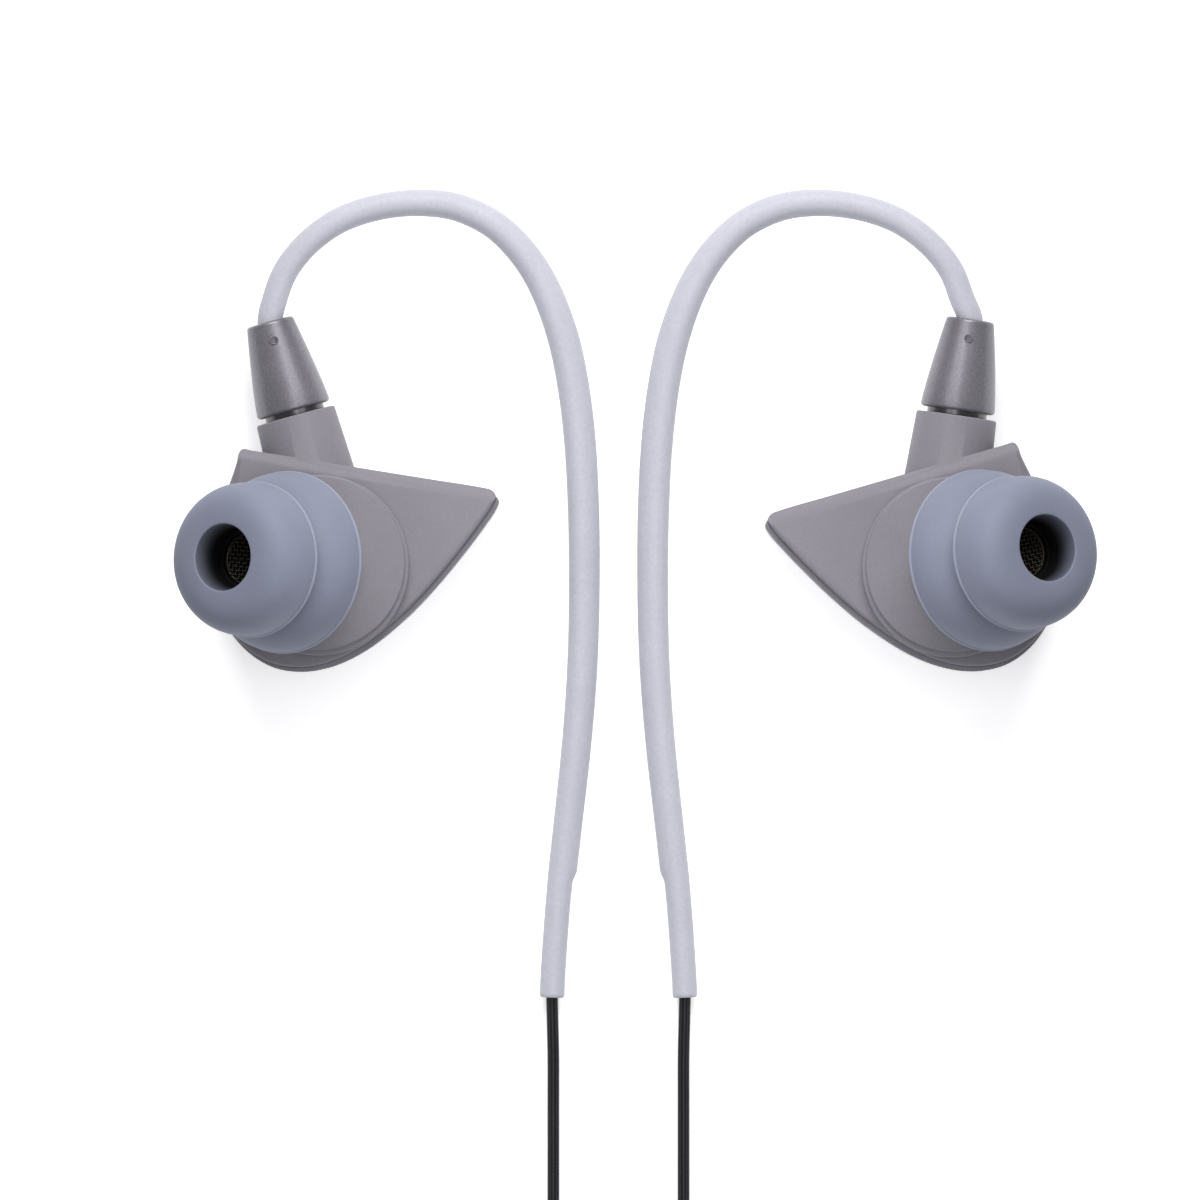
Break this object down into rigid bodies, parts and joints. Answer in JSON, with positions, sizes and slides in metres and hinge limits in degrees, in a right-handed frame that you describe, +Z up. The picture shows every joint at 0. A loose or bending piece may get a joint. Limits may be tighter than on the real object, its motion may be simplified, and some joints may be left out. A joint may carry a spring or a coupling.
{
  "type": "in-ear monitors",
  "caption": "Pair of over-ear in-ear monitors with wedge shells, double-flange tips, ear guides and a detachable cable with a small stereo plug.",
  "frame": {"origin": "middle of the box round the two earpieces and ear guides, on the table they lie on", "axes": "+X from the left earpiece to the right one, +Y towards the top of the ear guides, +Z up from the table, out of the sides that face the ears"},
  "size_m": [0.0855, 0.1489, 0.0211],
  "materials": {
    "shell_plastic": "fine matt grey moulding",
    "silicone": "soft blue-grey silicone with a dull sheen",
    "nozzle_metal": "turned and matt",
    "dark_mesh": "blackened woven wire",
    "dark_metal": "dark satin metal",
    "film": "thin clear-white film",
    "copper_wire": "enamelled copper",
    "magnet_metal": "nickel plate",
    "gold_contact": "gold plate",
    "white_plastic": "natural white insulator",
    "spring_steel": "drawn wire",
    "boot_metal": "satin metallic grey paint",
    "guide_silicone": "pearl grey translucent sleeve",
    "lead_sheath": "black smooth twin sheath",
    "cable_sheath": "black smooth sheath",
    "black_plastic": "fine matt black moulding",
    "tie_fabric": "woven hook-and-loop strap"
  },
  "bodies": {
    "cable": {"left_plug_barrel": "dark_metal", "left_plug_insulator": "white_plastic", "left_plug_pin": "gold_contact", "left_boot": "boot_metal", "left_ear_guide": "guide_silicone", "left_memory_wire": "spring_steel", "left_inner_lead": "lead_sheath", "left_lead": "lead_sheath", "left_lead_coil": "lead_sheath", "right_plug_barrel": "dark_metal", "right_plug_insulator": "white_plastic", "right_plug_pin": "gold_contact", "right_boot": "boot_metal", "right_ear_guide": "guide_silicone", "right_memory_wire": "spring_steel", "right_inner_lead": "lead_sheath", "right_lead": "lead_sheath", "right_lead_coil": "lead_sheath", "y_splitter": "black_plastic", "main_cable": "cable_sheath", "main_coil": "cable_sheath", "cable_ties": "tie_fabric", "jack_boot": "black_plastic", "jack_housing": "dark_metal", "jack_sleeve": "gold_contact", "jack_ring": "gold_contact", "jack_tip": "gold_contact", "jack_insulators": "black_plastic"},
    "left_ring": {"left_snap_ring": "spring_steel"},
    "left_earpiece": {"left_outer_shell": "shell_plastic", "left_inner_shell": "shell_plastic", "left_nozzle": "nozzle_metal", "left_nozzle_mesh": "dark_mesh", "left_driver_frame": "dark_metal", "left_diaphragm": "film", "left_voice_coil": "copper_wire", "left_magnet": "magnet_metal", "left_yoke": "magnet_metal", "left_socket_body": "gold_contact", "left_socket_insulator": "white_plastic", "left_socket_contact": "gold_contact", "left_driver_wires": "copper_wire"},
    "left_tip": {"left_ear_tip": "silicone"},
    "right_ring": {"right_snap_ring": "spring_steel"},
    "right_earpiece": {"right_outer_shell": "shell_plastic", "right_inner_shell": "shell_plastic", "right_nozzle": "nozzle_metal", "right_nozzle_mesh": "dark_mesh", "right_driver_frame": "dark_metal", "right_diaphragm": "film", "right_voice_coil": "copper_wire", "right_magnet": "magnet_metal", "right_yoke": "magnet_metal", "right_socket_body": "gold_contact", "right_socket_insulator": "white_plastic", "right_socket_contact": "gold_contact", "right_driver_wires": "copper_wire"},
    "right_tip": {"right_ear_tip": "silicone"},
    "chin_slider": {"chin_slider": "black_plastic"}
  },
  "joints": [
    {"name": "left_swivel", "type": "hinge", "parent": "cable", "child": "left_ring", "pos_m": [-0.02545, 0.01336, 0.004], "axis": [-0.2656, 0.9641, 0], "range_deg": [-180, 80]},
    {"name": "left_unplug", "type": "slide", "parent": "left_ring", "child": "left_earpiece", "axis": [0.2656, -0.9641, 0], "range_m": [0, 0.006]},
    {"name": "left_tip_pull", "type": "slide", "parent": "left_earpiece", "child": "left_tip", "axis": [-0.5429, 0.0437, 0.8387], "range_m": [0, 0.008]},
    {"name": "right_swivel", "type": "hinge", "parent": "cable", "child": "right_ring", "pos_m": [0.02413, 0.01336, 0.004], "axis": [0.1444, 0.9895, 0], "range_deg": [-80, 180]},
    {"name": "right_unplug", "type": "slide", "parent": "right_ring", "child": "right_earpiece", "axis": [-0.1444, -0.9895, 0], "range_m": [0, 0.006]},
    {"name": "right_tip_pull", "type": "slide", "parent": "right_earpiece", "child": "right_tip", "axis": [0.5333, 0.1104, 0.8387], "range_m": [0, 0.008]},
    {"name": "slider_slide", "type": "slide", "parent": "cable", "child": "chin_slider", "axis": [0, 1, 0], "range_m": [0, 0.004]}
  ]
}
